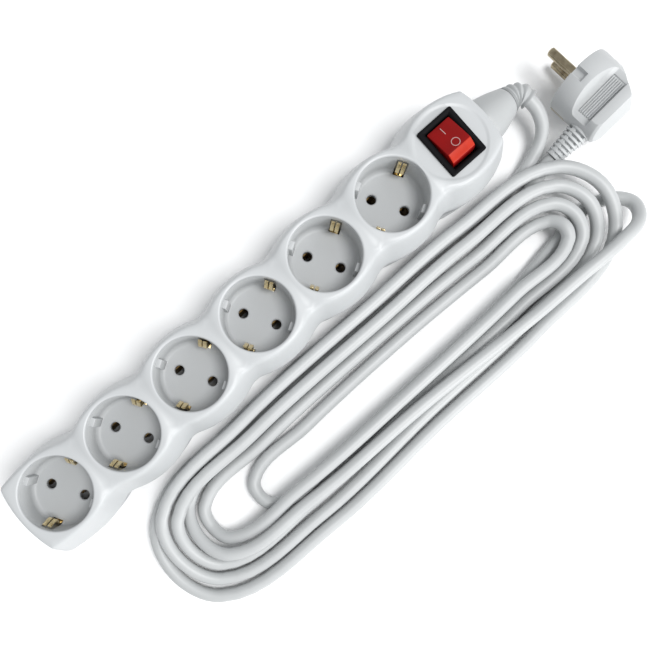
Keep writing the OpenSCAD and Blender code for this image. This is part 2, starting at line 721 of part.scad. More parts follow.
module cord_lead() color("white") cord(0, lead_last, lead_sides);
module cord_loops() color("white") cord(lead_last, tail_first, loop_sides);
module cord_tail() color("white") cord(tail_first, len(path) - 1, lead_sides);

// The plug, drawn in its own frame: pins along Z, cord along X
module at_plug() {
    translate(plug_at) rotate([-90 - plug_pitch, 0, plug_yaw]) rotate(180 - plug_roll) children();
}

// Each flank slopes in behind the round front to a flat for the fingers, with a raised end wall
module flank_cut() {
    rotate([90, 0, 90]) translate([0, 0, -plug_r - over]) linear_extrude(2 * (plug_r + over))
        polygon([[plug_r + over, -plug_front + 2], [plug_r, -plug_front + 2], [grip_y, -grip_start],
                 [grip_y, -grip_end], [end_wall_y, -grip_end], [end_wall_y, -plug_depth - over],
                 [plug_r + over, -plug_depth - over]]);
}

// The side away from the cord slopes in towards the back
module back_cut() {
    rotate([90, 0, 0]) translate([0, 0, -plug_r - over]) linear_extrude(2 * (plug_r + over))
        polygon([[-plug_r - over, -plug_front], [-plug_r, -plug_front], [-plug_back, -plug_depth - over],
                 [-plug_r - over, -plug_depth - over]]);
}

module plug_body() color("white") at_plug() difference() {
    rod_z(0, 0, -plug_depth, 0, plug_r);
    back_cut();
    flank_cut();
    mirror([0, 1, 0]) flank_cut();
    for (s = [-1, 1]) {
        rod_z(0, s * pin_pitch / 2, -pin_root, over, pin_root_r + run_gap);
        slab(0, s * (plug_r - groove_in / 2 + over / 2), -groove_l,
             groove_w, groove_in + over, groove_l + over);
        slab(s * (plug_r - strip_t / 2), 0, -strip_l, strip_t + slack, strip_w + slack, strip_l + over);
        slab(0, s * (grip_y - grip_t / 2 + over / 2), -grip_end,
             grip_w + slack, grip_t + over, grip_end - grip_start);
    }
    rod_x(plug_relief_x, plug_r + over, 0, plug_cord_z, plug_relief_r + slack);
}

module plug_grip() color("white") at_plug() for (s = [-1, 1]) {
    grip_l = grip_end - grip_start - slack;
    slab(0, s * (grip_y - grip_t / 2), -grip_end + slack, grip_w, grip_t, grip_l);
    for (k = [0 : grip_ribs - 1])
        slab(0, s * (grip_y + grip_rib_h / 2 - slack / 2), -grip_end + slack + (k + 0.25) * grip_l / grip_ribs,
             grip_w - 2, grip_rib_h + slack, grip_l / grip_ribs / 2);
}

module plug_pins() color("gold") at_plug() for (s = [-1, 1]) {
    nose = 0.6;
    rod_z(0, s * pin_pitch / 2, -pin_root, slack, pin_root_r);
    rod_z(0, s * pin_pitch / 2, 0, plug_pin_l - nose, plug_pin_d / 2);
    translate([0, s * pin_pitch / 2, plug_pin_l - nose])
        cylinder(r1 = plug_pin_d / 2, r2 = plug_pin_d / 2 - nose, h = nose);
}

module plug_earth_strips() color("gold") at_plug() for (s = [-1, 1])
    slab(s * (plug_r - strip_t / 2), 0, -strip_l, strip_t, strip_w, strip_l - over);

module plug_relief() color("white") at_plug() translate([plug_relief_x, 0, plug_cord_z]) rotate([0, 90, 0]) {
    rib_l = plug_relief_l / plug_ribs;
    drop = (plug_relief_r - plug_relief_tip) / plug_ribs;
    cylinder(r1 = plug_relief_r - rib_depth, r2 = plug_relief_tip - rib_depth / 2, h = plug_relief_l);
    for (k = [0 : plug_ribs - 1])
        translate([0, 0, k * rib_l]) cylinder(r = plug_relief_r - k * drop, h = rib_l / 2);
}

base_tray();
top_cover();
for (i = [0 : sockets - 1]) {
    socket_cup(i);
    earth_clip(i);
}
live_bar();
neutral_bar();
earth_bar();
live_wire();
neutral_wire();
earth_wire();
switched_wire();
switch_frame();
rocker();
plunger();
plunger_spring();
contact_lever();
switch_terminals();
cord_stub();
cord_clamp();
clamp_screws();
housing_screws();
cable_boot();
bend_relief();
cord_lead();
cord_loops();
cord_tail();
plug_body();
plug_grip();
plug_pins();
plug_earth_strips();
plug_relief();
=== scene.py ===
import math
import bmesh
import bpy
from mathutils import Matrix, Vector, kdtree


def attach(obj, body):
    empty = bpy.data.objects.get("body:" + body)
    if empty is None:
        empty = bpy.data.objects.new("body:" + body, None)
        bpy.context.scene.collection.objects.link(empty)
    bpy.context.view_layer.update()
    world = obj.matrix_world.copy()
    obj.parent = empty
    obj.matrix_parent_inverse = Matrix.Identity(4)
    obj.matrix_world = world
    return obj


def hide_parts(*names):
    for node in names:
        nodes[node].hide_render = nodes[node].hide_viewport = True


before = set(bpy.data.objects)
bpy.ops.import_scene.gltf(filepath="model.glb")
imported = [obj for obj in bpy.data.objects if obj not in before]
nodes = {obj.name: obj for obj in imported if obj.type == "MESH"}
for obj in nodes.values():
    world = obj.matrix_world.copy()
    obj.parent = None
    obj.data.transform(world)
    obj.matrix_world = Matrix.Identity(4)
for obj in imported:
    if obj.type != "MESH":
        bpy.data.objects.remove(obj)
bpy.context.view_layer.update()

mm = 0.001


# small modelling helpers

def clearSelection():
    if bpy.context.object and bpy.context.object.mode != "OBJECT":
        bpy.ops.object.mode_set(mode="OBJECT")
    bpy.ops.object.select_all(action="DESELECT")


def pick(obj):
    clearSelection()
    obj.select_set(True)
    bpy.context.view_layer.objects.active = obj
    return obj


def layRing(mesh, oldRing, newRing):  # moves the freshly extruded ring to its place
    tree = kdtree.KDTree(len(oldRing))
    for i, p in enumerate(oldRing):
        tree.insert(p, i)
    tree.balance()
    edit = bmesh.from_edit_mesh(mesh)
    for v in edit.verts:
        if v.select:
            v.co = newRing[tree.find(v.co)[1]]
    bmesh.update_edit_mesh(mesh)


def skinRings(name, rings, capStart=True, capEnd=True):  # a circle, extruded from ring to ring
    rings = [[Vector(p) * mm for p in ring] for ring in rings]
    clearSelection()
    bpy.ops.mesh.primitive_circle_add(vertices=len(rings[0]), radius=0.01, fill_type="NOTHING")
    obj = bpy.context.object
    obj.name = name
    obj.data.name = name
    for v, p in zip(obj.data.vertices, rings[0]):
        v.co = p
    bpy.ops.object.mode_set(mode="EDIT")
    bpy.ops.mesh.select_all(action="SELECT")
    for last, ring in zip(rings, rings[1:]):
        bpy.ops.mesh.extrude_region_move(TRANSFORM_OT_translate={"value": (0, 0, 0)})
        layRing(obj.data, last, ring)
    if capEnd:
        bpy.ops.mesh.edge_face_add()
    if capStart:
        bpy.ops.mesh.select_all(action="DESELECT")
        edit = bmesh.from_edit_mesh(obj.data)
        edit.verts.ensure_lookup_table()
        for i in range(len(rings[0])):
            edit.verts[i].select = True
        edit.select_flush(True)
        bmesh.update_edit_mesh(obj.data)
        bpy.ops.mesh.edge_face_add()
    bpy.ops.mesh.select_all(action="SELECT")
    bpy.ops.mesh.normals_make_consistent(inside=False)
    bpy.ops.object.mode_set(mode="OBJECT")
    return obj


def circleRing(r, z, count=96, cx=0, cy=0):
    return [(cx + r * math.cos(2 * math.pi * k / count), cy + r * math.sin(2 * math.pi * k / count), z)
            for k in range(count)]


def boxRing(w, l, z, r, corner=6):  # rounded rectangle, w along X and l along Y
    ring = []
    for sx, sy, start in ((1, 1, 0), (-1, 1, 90), (-1, -1, 180), (1, -1, 270)):
        for k in range(corner + 1):
            a = math.radians(start + 90 * k / corner)
            ring.append((sx * (w / 2 - r) + r * math.cos(a), sy * (l / 2 - r) + r * math.sin(a), z))
    return ring


def roundedBox(name, w, l, z0, z1, r, edge):  # block with soft edges top and bottom
    rings = []
    for z, inset in ((z0, edge), (z0 + 0.3 * edge, 0.3 * edge), (z0 + edge, 0),
                     (z1 - edge, 0), (z1 - 0.3 * edge, 0.3 * edge), (z1, edge)):
        rings.append(boxRing(w - 2 * inset, l - 2 * inset, z, max(0.05, r - inset)))
    return skinRings(name, rings)


def place(obj, matrix):  # puts the piece where it belongs and keeps its object at the origin
    pick(obj)
    obj.matrix_world = matrix
    bpy.ops.object.transform_apply(location=True, rotation=True, scale=True)
    return obj


def shift(x, y=0, z=0):
    return Matrix.Translation((x * mm, y * mm, z * mm))


def turn(degrees, axis):
    return Matrix.Rotation(math.radians(degrees), 4, axis)


def copyPiece(obj, name):
    twin = obj.copy()
    twin.data = obj.data.copy()
    twin.name = name
    twin.data.name = name
    bpy.context.scene.collection.objects.link(twin)
    return twin


def carve(obj, cutter, operation="DIFFERENCE"):
    pick(obj)
    cut = obj.modifiers.new("carve", "BOOLEAN")
    cut.operation = operation
    cut.solver = "EXACT"
    cut.object = cutter
    bpy.ops.object.modifier_apply(modifier=cut.name)
    bpy.data.objects.remove(cutter)
    return obj


def softenEdges(obj, width, segments=2, angle=35):
    pick(obj)
    soft = obj.modifiers.new("softEdge", "BEVEL")
    soft.width = width * mm
    soft.segments = segments
    soft.limit_method = "ANGLE"
    soft.angle_limit = math.radians(angle)
    soft.harden_normals = False
    bpy.ops.object.modifier_apply(modifier=soft.name)
    return obj


def joinPieces(first, others):
    clearSelection()
    for o in others:
        o.select_set(True)
    first.select_set(True)
    bpy.context.view_layer.objects.active = first
    bpy.ops.object.join()
    return first


def smoothLook(obj, angle=40):
    pick(obj)
    bpy.ops.object.shade_smooth_by_angle(angle=math.radians(angle))
    clearSelection()
    return obj


def hand(obj, body, slot, material, *stoodFor):
    if material is not None:
        obj.data.materials.clear()
        obj.data.materials.append(material)
    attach(obj, body)
    if stoodFor:
        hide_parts(*stoodFor)
    return obj


# materials

def addSocket(group, name, kind, way, value=None):
    socket = group.interface.new_socket(name=name, in_out=way, socket_type=kind)
    if value is not None:
        socket.default_value = value
    return socket


def buildMouldGroup():  # tone drift and fine grain of moulded plastic
    group = bpy.data.node_groups.new("mouldedSurface", "ShaderNodeTree")
    addSocket(group, "Tone", "NodeSocketColor", "INPUT", (0.8, 0.8, 0.8, 1))
    addSocket(group, "Shade", "NodeSocketColor", "INPUT", (0.7, 0.7, 0.7, 1))
    addSocket(group, "Drift Size", "NodeSocketFloat", "INPUT", 30.0)
    addSocket(group, "Grain Size", "NodeSocketFloat", "INPUT", 2500.0)
    addSocket(group, "Gloss Low", "NodeSocketFloat", "INPUT", 0.32)
    addSocket(group, "Gloss High", "NodeSocketFloat", "INPUT", 0.46)
    addSocket(group, "Color", "NodeSocketColor", "OUTPUT")
    addSocket(group, "Roughness", "NodeSocketFloat", "OUTPUT")
    addSocket(group, "Height", "NodeSocketFloat", "OUTPUT")
    n, link = group.nodes, group.links.new
    inside = n.new("NodeGroupInput")
    out = n.new("NodeGroupOutput")
    coord = n.new("ShaderNodeTexCoord")
    drift = n.new("ShaderNodeTexNoise")
    drift.inputs["Detail"].default_value = 3
    grain = n.new("ShaderNodeTexNoise")
    grain.inputs["Detail"].default_value = 2
    link(coord.outputs["Object"], drift.inputs["Vector"])
    link(coord.outputs["Object"], grain.inputs["Vector"])
    link(inside.outputs["Drift Size"], drift.inputs["Scale"])
    link(inside.outputs["Grain Size"], grain.inputs["Scale"])
    spread = n.new("ShaderNodeMapRange")
    spread.inputs["From Min"].default_value = 0.38
    spread.inputs["From Max"].default_value = 0.68
    link(drift.outputs["Fac"], spread.inputs["Value"])
    tint = n.new("ShaderNodeMix")
    tint.data_type = "RGBA"
    link(spread.outputs["Result"], tint.inputs["Factor"])
    link(inside.outputs["Tone"], tint.inputs["A"])
    link(inside.outputs["Shade"], tint.inputs["B"])
    link(tint.outputs["Result"], out.inputs["Color"])
    gloss = n.new("ShaderNodeMapRange")
    link(grain.outputs["Fac"], gloss.inputs["Value"])
    link(inside.outputs["Gloss Low"], gloss.inputs["To Min"])
    link(inside.outputs["Gloss High"], gloss.inputs["To Max"])
    link(gloss.outputs["Result"], out.inputs["Roughness"])
    link(grain.outputs["Fac"], out.inputs["Height"])
    return group


mouldedSurface = buildMouldGroup()


def mouldedPlastic(name, look):
    material = bpy.data.materials.new(name)
    material.use_nodes = True
    n, link = material.node_tree.nodes, material.node_tree.links.new
    shader = n["Principled BSDF"]
    surface = n.new("ShaderNodeGroup")
    surface.node_tree = mouldedSurface
    surface.inputs["Tone"].default_value = (*look["tone"], 1)
    surface.inputs["Shade"].default_value = (*look["shade"], 1)
    surface.inputs["Drift Size"].default_value = look.get("drift", 30)
    surface.inputs["Grain Size"].default_value = look.get("grain", 2500)
    surface.inputs["Gloss Low"].default_value = look["gloss"][0]
    surface.inputs["Gloss High"].default_value = look["gloss"][1]
    link(surface.outputs["Color"], shader.inputs["Base Color"])
    link(surface.outputs["Roughness"], shader.inputs["Roughness"])
    bump = n.new("ShaderNodeBump")
    bump.inputs["Strength"].default_value = look.get("bump", 0.06)
    bump.inputs["Distance"].default_value = look.get("bumpDepth", 0.00008)
    link(surface.outputs["Height"], bump.inputs["Height"])
    link(bump.outputs["Normal"], shader.inputs["Normal"])
    shader.inputs["IOR"].default_value = 1.48
    shader.inputs["Specular IOR Level"].default_value = look.get("shine", 0.5)
    shader.inputs["Coat Weight"].default_value = look.get("coat", 0.0)
    shader.inputs["Coat Roughness"].default_value = look.get("coatRough", 0.2)
    if "subsurface" in look:
        shader.inputs["Subsurface Weight"].default_value = look["subsurface"]
        shader.inputs["Subsurface Radius"].default_value = (0.004, 0.003, 0.0025)
        shader.inputs["Subsurface Scale"].default_value = 0.6
    # emission on a surface that is no lamp: painted light
    if "paintedGlow" in look:
        shader.inputs["Emission Color"].default_value = (*look["tone"], 1)
        shader.inputs["Emission Strength"].default_value = look["paintedGlow"]
    return material


def metalFinish(name, look):
    material = mouldedPlastic(name, look)
    shader = material.node_tree.nodes["Principled BSDF"]
    shader.inputs["Metallic"].default_value = 1.0
    return material


finishes = {
    "coverWhite": dict(tone=(0.525, 0.54, 0.548), shade=(0.51, 0.525, 0.533), gloss=(0.32, 0.44),
                       coat=0.08, coatRough=0.3),
    # socket cups a step greyer than the cover: the same white plastic, darkened as painted shade in the
    # recesses
    "cupWhitePaintedShade": dict(tone=(0.445, 0.457, 0.463), shade=(0.43, 0.442, 0.448), gloss=(0.36, 0.5), grain=3200),
    "baseWhite": dict(tone=(0.47, 0.48, 0.49), shade=(0.45, 0.46, 0.47), gloss=(0.45, 0.6),
                      grain=1800, bump=0.12),
    "cordWhite": dict(tone=(0.49, 0.503, 0.505), shade=(0.465, 0.478, 0.48), gloss=(0.34, 0.48),
                      drift=45, grain=1600, bump=0.08),
    "bootWhite": dict(tone=(0.44, 0.452, 0.455), shade=(0.42, 0.432, 0.435), gloss=(0.38, 0.52), grain=2000),
    "plugWhite": dict(tone=(0.55, 0.563, 0.568), shade=(0.525, 0.538, 0.543), gloss=(0.36, 0.5), grain=2200),
    "bezelBlack": dict(tone=(0.005, 0.005, 0.006), shade=(0.007, 0.007, 0.008), gloss=(0.5, 0.65),
                       grain=3000, bump=0.1, shine=0.08),
    "rockerRed": dict(tone=(0.25, 0.005, 0.005), shade=(0.21, 0.005, 0.005), gloss=(0.30, 0.40),
                      drift=120, shine=0.16),
    # lighter copy of the rocker red with a little emission, a painted highlight on the slope that faces the
    # lamps
    "rockerPaintedHighlight": dict(tone=(0.46, 0.026, 0.009), shade=(0.41, 0.021, 0.007), gloss=(0.34, 0.44),
                      paintedGlow=0.07, drift=160, shine=0.2),
    "markPale": dict(tone=(0.48, 0.30, 0.29), shade=(0.44, 0.27, 0.26), gloss=(0.4, 0.5)),
    "ivoryPlain": dict(tone=(0.75, 0.7, 0.58), shade=(0.7, 0.65, 0.54), gloss=(0.4, 0.55)),
    "clampGrey": dict(tone=(0.5, 0.51, 0.52), shade=(0.45, 0.46, 0.47), gloss=(0.4, 0.55)),
    "wireBrown": dict(tone=(0.14, 0.05, 0.02), shade=(0.12, 0.04, 0.015), gloss=(0.35, 0.5)),
    "wireBlue": dict(tone=(0.03, 0.12, 0.4), shade=(0.025, 0.1, 0.35), gloss=(0.35, 0.5)),
    "wireGreen": dict(tone=(0.25, 0.4, 0.03), shade=(0.1, 0.28, 0.03), gloss=(0.35, 0.5), drift=300),
    "wireBlack": dict(tone=(0.02, 0.02, 0.02), shade=(0.03, 0.03, 0.03), gloss=(0.35, 0.5)),
}
metals = {
    "stampedBrass": dict(tone=(0.97, 0.82, 0.50), shade=(0.90, 0.71, 0.38), gloss=(0.22, 0.34),
                         drift=400, grain=4000, bump=0.1),
    # brass of the inner bars, lever and terminals, darkened so the pin holes above them read dark: painted
    # shade
    "innerBrassPaintedShade": dict(tone=(0.30, 0.20, 0.08), shade=(0.22, 0.14, 0.05), gloss=(0.35, 0.5),
                      drift=300, grain=3000),
    # brass of the plug's pins and earth strips, darkened, with much darker patches in its drift: real brass
    # plus painted dark reflection
    "plugMetalPaintedReflection": dict(tone=(0.50, 0.43, 0.30), shade=(0.24, 0.19, 0.12), gloss=(0.10, 0.20),
                      drift=200, grain=4000),
    "zincSteel": dict(tone=(0.6, 0.6, 0.61), shade=(0.5, 0.5, 0.51), gloss=(0.25, 0.4),
                      drift=300, grain=3500),
}
finish = {name: mouldedPlastic(name, look) for name, look in finishes.items()}
finish.update({name: metalFinish(name, look) for name, look in metals.items()})
print("materials ready:", len(finish))


# camera: straight down on the strip, with the photograph's framing

shot = dict(at=(-14.1, -51.5, 358.7), roll=-41.6, lens=34.28, shift=(0.0385, 0.1308))
clearSelection()
bpy.ops.object.camera_add(location=[c * mm for c in shot["at"]], rotation=(0, 0, math.radians(shot["roll"])))
camera = bpy.context.object
camera.data.lens = shot["lens"]
camera.data.sensor_width = 36
camera.data.shift_x, camera.data.shift_y = shot["shift"]
camera.data.clip_start = 0.01
bpy.context.scene.camera = camera


# the strip's main sizes, as in the part's source, in millimetres

strip = dict(leftEnd=-166.0, rightEnd=165.0, bulge=28.0, waist=23.5, height=40.0, firstX=-137.0,
             pitch=46.5, switchX=135.8, neckX=115.65, recessDepth=17.5, socketTurn=-60.0, exitZ=17.0,
             bootTip=184.0)
socketX = [strip["firstX"] + strip["pitch"] * i for i in range(6)]
floorZ = strip["height"] - strip["recessDepth"]


# cord: the route of the part's source, lead, loops and tail in one curve

cordLook = dict(diameter=7.5, layer=8.2, lift=0.1, samples=8, topStretch=1.1)
corner = Vector((166.5, -27.5, 0))
bootTip = Vector((strip["bootTip"], 0, strip["exitZ"]))
plugSet = dict(x=220.5, y=-16.3, lift=0.1, pitch=11, roll=26, yaw=-2,
               r=18, front=13.5, depth=31, back=9, cordZ=-22, reliefX=13, reliefL=22)
plugAt = (plugSet["x"], plugSet["y"],
          plugSet["r"] * math.cos(math.radians(plugSet["pitch"])) + plugSet["lift"])  # its rim on the floor
plugFrame = (Matrix.Translation(plugAt) @ turn(plugSet["yaw"], "Z") @ turn(-90 - plugSet["pitch"], "X")
             @ turn(180 - plugSet["roll"], "Z"))
reliefPoints = [bootTip + Vector(p) for p in ((0.1, 0, 0), (2.6, 0, 0), (5.6, -0.6, 0), (8.6, -2.6, -0.1),
                                              (10.6, -7.4, -0.6))]
leadPoints = [bootTip + Vector(p) for p in ((11, -14, -1.8), (9.4, -22, -5), (4.4, -28.2, -9),
                                            (-4.8, -32.4, -11.8), (-17, -35.6, -13.2))]
winding = dict(
    leftX=(-48.5, -108.5), rightX=(-126.5, -46.5), lowX=(-210.5, -210.5, -210.5, -210.5, -184.5, -210.5),
    leftY=((-7.5, -5.7, -5.9), (-6.9, -6.5, -7.5), (-16.5, -16.1, -16.5),
           (-25.1, -23.1, -23.9), (-33.9, -31.9, -33.1), (-16.1, -14.3, -14.7)),
    rightY=((-85.4, -82.5, -80.6), (-77.1, -73.9, -71.9), (-68.1, -65.5, -63.5),
            (-57.1, -57.5, -55.5), (-58.1, -56.9, -54.9), (-65.9, -67.5, -71.7)),
    leftLevel=(1, 2.05, 2.05, 1, 1, 1), rightLevel=(1, 1, 1, 2.05, 1, 2.05),
    bottomX=(-296.5, -288, -279.5, -262.5, -230.5, -271),
    bottomLevel=((1, 1, 1), (2.05, 1.5, 1), (2.05, 1.5, 1), (1, 1, 1.5), (1, 1, 1), (1, 1.6, 2.05)),
    topX=(28.5, 17.5, 7, -2),
    topLevel=((1.45, 2.25, 2.15), (1.4, 2.15, 2.15), (1.9, 2.1, 2.05), (2.1, 2.1, 1.6)),
    bight=((-6.5, -49.5, 3.85), (19.5, -46.5, 3.85), (33.5, -51.9, 4.6), (38.5, -61, 8),
           (31.5, -69.9, 13.6), (13.5, -72.1, 16.6), (-14.5, -71.9, 14.6)),
    leadEnd=(-16.5, -8.9), tailEndY=-17.3, tail=((7.5, -16.1, 3.85),))


def level(n):
    return cordLook["diameter"] / 2 + cordLook["lift"] + (n - 1) * cordLook["layer"]


def turnEnd(ya, yb, apex, reach, levels):
    points = []
    for k in range(3):
        a = math.radians(45 * (k + 1))
        y = (ya + yb) / 2 + (ya - yb) / 2 * math.cos(a)
        points.append(corner + Vector((apex - reach * (1 - math.sin(a)), y, level(levels[k]))))
    return points


def leftRun(t):
    xs = (*winding["leftX"], winding["lowX"][t])
    z = level(winding["leftLevel"][t])
    return [corner + Vector((x, y, z)) for x, y in zip(xs, winding["leftY"][t])]


def rightRun(t):
    xs = (winding["lowX"][t], *winding["rightX"])
    z = level(winding["rightLevel"][t])
    return [corner + Vector((x, y, z)) for x, y in zip(xs, winding["rightY"][t])]


def bottomEnd(t):
    ya, yb = winding["leftY"][t][2], winding["rightY"][t][0]
    return turnEnd(ya, yb, winding["bottomX"][t], -(ya - yb) / 2, winding["bottomLevel"][t])


def topEnd(t):
    ya, yb = winding["rightY"][t][2], winding["leftY"][t + 1][0]
    return turnEnd(ya, yb, winding["topX"][t], cordLook["topStretch"] * (yb - ya) / 2, winding["topLevel"][t])


def cordRoute():
    route = [reliefPoints[-1], *leadPoints, corner + Vector((*winding["leadEnd"], level(1)))]
    for t in range(5):
        route += leftRun(t) + bottomEnd(t) + rightRun(t)
        route += topEnd(t) if t < 4 else [corner + Vector(p) for p in winding["bight"]]
    route += (leftRun(5) + bottomEnd(5) + rightRun(5))[::-1]
    route.append(corner + Vector((winding["leadEnd"][0], winding["tailEndY"], level(1))))
    route += [corner + Vector(p) for p in winding["tail"]]
    tailTip = plugSet["reliefX"] + plugSet["reliefL"]
    route.append(plugFrame @ Vector((tailTip + cordLook["diameter"], 0, plugSet["cordZ"])))
    route.append(plugFrame @ Vector((tailTip, 0, plugSet["cordZ"])))
    return route


def smoothPath(points, samples, lowest=-1e9):
    heads = []
    for i in range(len(points)):
        before = (points[i] - points[i - 1]).normalized() if i else None
        after = (points[i + 1] - points[i]).normalized() if i + 1 < len(points) else None
        heads.append(after if before is None else before if after is None else (before + after).normalized())
    path = []
    for i in range(len(points) - 1):
        d = (points[i + 1] - points[i]).length
        for k in range(samples):
            s = k / samples
            p = ((2 * s ** 3 - 3 * s ** 2 + 1) * points[i] + (s ** 3 - 2 * s ** 2 + s) * d * heads[i]
                 + (3 * s ** 2 - 2 * s ** 3) * points[i + 1] + (s ** 3 - s ** 2) * d * heads[i + 1])
            path.append(Vector((p.x, p.y, max(p.z, lowest))))
    path.append(points[-1].copy())
    return path


cordPath = smoothPath(cordRoute(), cordLook["samples"], level(1))
cordCurve = bpy.data.curves.new("cord", "CURVE")
cordCurve.dimensions = "3D"
cordLine = cordCurve.splines.new("POLY")
cordLine.points.add(len(cordPath) - 1)
for point, p in zip(cordLine.points, cordPath):
    point.co = (*(p * mm), 1)
cordLine.use_smooth = True
cordCurve.bevel_depth = cordLook["diameter"] / 2 * mm
cordCurve.bevel_resolution = 5
cordCurve.use_fill_caps = True
cordCurve.materials.append(finish["cordWhite"])
cord = bpy.data.objects.new("cord", cordCurve)
bpy.context.scene.collection.objects.link(cord)
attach(cord, "housing")
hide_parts("cord_lead", "cord_loops", "cord_tail")


# housing cover: one scalloped cell round each socket and the switch

coverLook = dict(lensRun=5.0, endArc=75.0, side=12, arc=14, rimOuter=20.6, rimInner=19.55,
                 rimDrop=0.95, seatOuter=20.4, seatInner=18.3, seatDrop=0.45, wellX=9.8, wellY=13.2,
                 topInset=6.9, valley=1.7, valleyRun=6.0, valleyStart=21.4, valleyLow=33.0, seatMid=16.8,
                 lipDepth=4.4, leftSideArc=125.0, endCorner=8.0, flat=9, bend=9,
                 profile=((7.02, 6.6), (7.02, 2.25), (7.4, 1.95), (12, 1.2), (17, 0.4), (20, 0.05),
                          (22, 0.5), (27, 1.9), (32, 3.3), (35.5, 4.3), (37.2, 4.85), (38.4, 5.35),
                          (39.2, 5.85), (39.75, 6.35), (40, 6.9)))


def solveLens(half):  # arc radius that leaves the wanted waist after the fillet in the notch
    low, high = 25.0, 120.0
    d = half - coverLook["lensRun"]
    for _ in range(60):
        r = (low + high) / 2
        root = math.sqrt(r * r - d * d)
        if strip["bulge"] - r + root - d / root * coverLook["lensRun"] / 2 < strip["waist"]:
            low = r
        else:
            high = r
    return r


def sideY(dx, half, inset, lens):  # half width of the cover at dx from a bulge, with the notch filleted
    start = half - coverLook["lensRun"]
    d = min(dx, start)
    root = math.sqrt(lens ** 2 - d * d)
    y, slope = strip["bulge"] - lens + root, -d / root
    if dx > start:
        u = dx - start
        y += slope * u - slope * u * u / (2 * coverLook["lensRun"])
        slope *= 1 - u / coverLook["lensRun"]
    return y - inset * math.sqrt(1 + slope * slope)


def waistQuarter(half, inset):
    m, k = coverLook["side"], coverLook["arc"]
    lens = solveLens(half)
    top = sideY(half, half, inset, lens)
    return ([(half, top * j / m) for j in range(m)]
            + [(half * (1 - j / k), sideY(half * (1 - j / k), half, inset, lens)) for j in range(k + 1)])


def endQuarter(reach, inset, sideArc, rc):  # end arc, corner arc and side arc, each tangent to the next
    ends, lens = coverLook["endArc"], sideArc or solveLens(strip["pitch"] / 2)
    flat, bend = coverLook["flat"], coverLook["bend"]
    ex, ly = reach - ends, strip["bulge"] - lens
    low, high = 0.0, math.pi / 2
    for _ in range(60):  # turns the corner's centre about the end arc until it meets the side arc
        a = (low + high) / 2
        cx, cy = ex + (ends - rc) * math.cos(a), (ends - rc) * math.sin(a)
        if math.hypot(cx, cy - ly) < lens - rc:
            low = a
        else:
            high = a
    meet = math.atan2(cy - ly, cx)
    rest = coverLook["side"] + coverLook["arc"] - flat - bend
    points = []
    for j in range(flat):
        b = a * j / flat
        points.append((ex + (ends - inset) * math.cos(b), (ends - inset) * math.sin(b)))
    for j in range(bend):
        b = a + (meet - a) * j / bend
        points.append((cx + (rc - inset) * math.cos(b), cy + (rc - inset) * math.sin(b)))
    for j in range(rest + 1):
        b = meet + (math.pi / 2 - meet) * j / rest
        points.append(((lens - inset) * math.cos(b), (lens - inset) * math.sin(b) + ly))
    return points


def cellLoop(left, right, inset):
    r, l = right(inset), left(inset)
    return (r[:-1] + [(-x, y) for x, y in l[::-1]][:-1] + [(-x, -y) for x, y in l][:-1]
            + [(x, -y) for x, y in r[::-1]][:-1])


def valleyDrop(x, y, half, z):  # the top sinks a little towards the waists
    reach = min(1, max(0, (abs(x) / half - 0.5) / 0.5))
    out = min(1, max(0, (math.hypot(x, y) - coverLook["valleyStart"]) / coverLook["valleyRun"]))
    up = min(1, max(0, (z - coverLook["valleyLow"]) / (strip["height"] - coverLook["valleyLow"])))
    return coverLook["valley"] * reach * reach * (3 - 2 * reach) * out * up


def coverCell(name, cx, leftHalf, rightHalf, leftEnd, rightEnd, isSwitch):
    c, top = coverLook, strip["height"]

    def left(inset):
        if leftEnd:
            return endQuarter(leftHalf, inset, c["leftSideArc"], c["endCorner"])
        return waistQuarter(leftHalf, inset)

    def right(inset):
        return endQuarter(rightHalf, inset, 0, c["endCorner"]) if rightEnd else waistQuarter(rightHalf, inset)

    def sunk(x, y, z):
        atEnd = rightEnd if x > 0 else leftEnd
        return (x, y, z if atEnd else z - valleyDrop(x, y, rightHalf if x > 0 else leftHalf, z))

    rings = [[sunk(x, y, z) for x, y in cellLoop(left, right, inset)] for z, inset in c["profile"]]
    inner = cellLoop(left, right, c["topInset"])
    aims = [math.atan2(y, x) for x, y in inner]
    outerR = c["seatOuter"] if isSwitch else c["rimOuter"]
    innerR = c["seatInner"] if isSwitch else c["rimInner"]
    drop = c["seatDrop"] if isSwitch else c["rimDrop"]
    far = []
    for (x, y), a in zip(inner, aims):  # the rim stays inside its cell and inside the top edge
        room = (rightHalf if x > 0 else leftHalf) - 0.3
        far.append(min(outerR, room / max(abs(math.cos(a)), 1e-6), max(math.hypot(x, y) - 0.2, innerR + 0.5)))
    rim = [(r * math.cos(a), r * math.sin(a)) for r, a in zip(far, aims)]
    for f in (0.5, 1.0):
        rings.append([sunk(x + (u - x) * f, y + (v - y) * f, top) for (x, y), (u, v) in zip(inner, rim)])
    for k in range(1, 9):
        f, b = k / 8, math.radians(90 * k / 8)
        fall = f * f * (3 - 2 * f) if isSwitch else 1 - math.cos(b)  # soft dish or round lip
        go = f if isSwitch else math.sin(b)
        ring = []
        for r0, a in zip(far, aims):
            near = min(innerR, r0 - 0.15)
            r = r0 + (near - r0) * go
            ring.append((r * math.cos(a), r * math.sin(a), top - drop * fall))
        rings.append(ring)
    if isSwitch:
        for f in (0.5, 1.0):
            ring = []
            for a in aims:
                edge = min(c["wellX"] / max(abs(math.cos(a)), 1e-6), c["wellY"] / max(abs(math.sin(a)), 1e-6))
                r = c["seatMid"] + (edge - c["seatMid"]) * f
                ring.append((r * math.cos(a), r * math.sin(a), top - drop))
            rings.append(ring)
    else:
        low = top - c["lipDepth"]
        rings.append([(c["rimInner"] * math.cos(a), c["rimInner"] * math.sin(a), low) for a in aims])
    cell = skinRings(name, rings, capStart=False, capEnd=False)
    return place(cell, shift(cx))


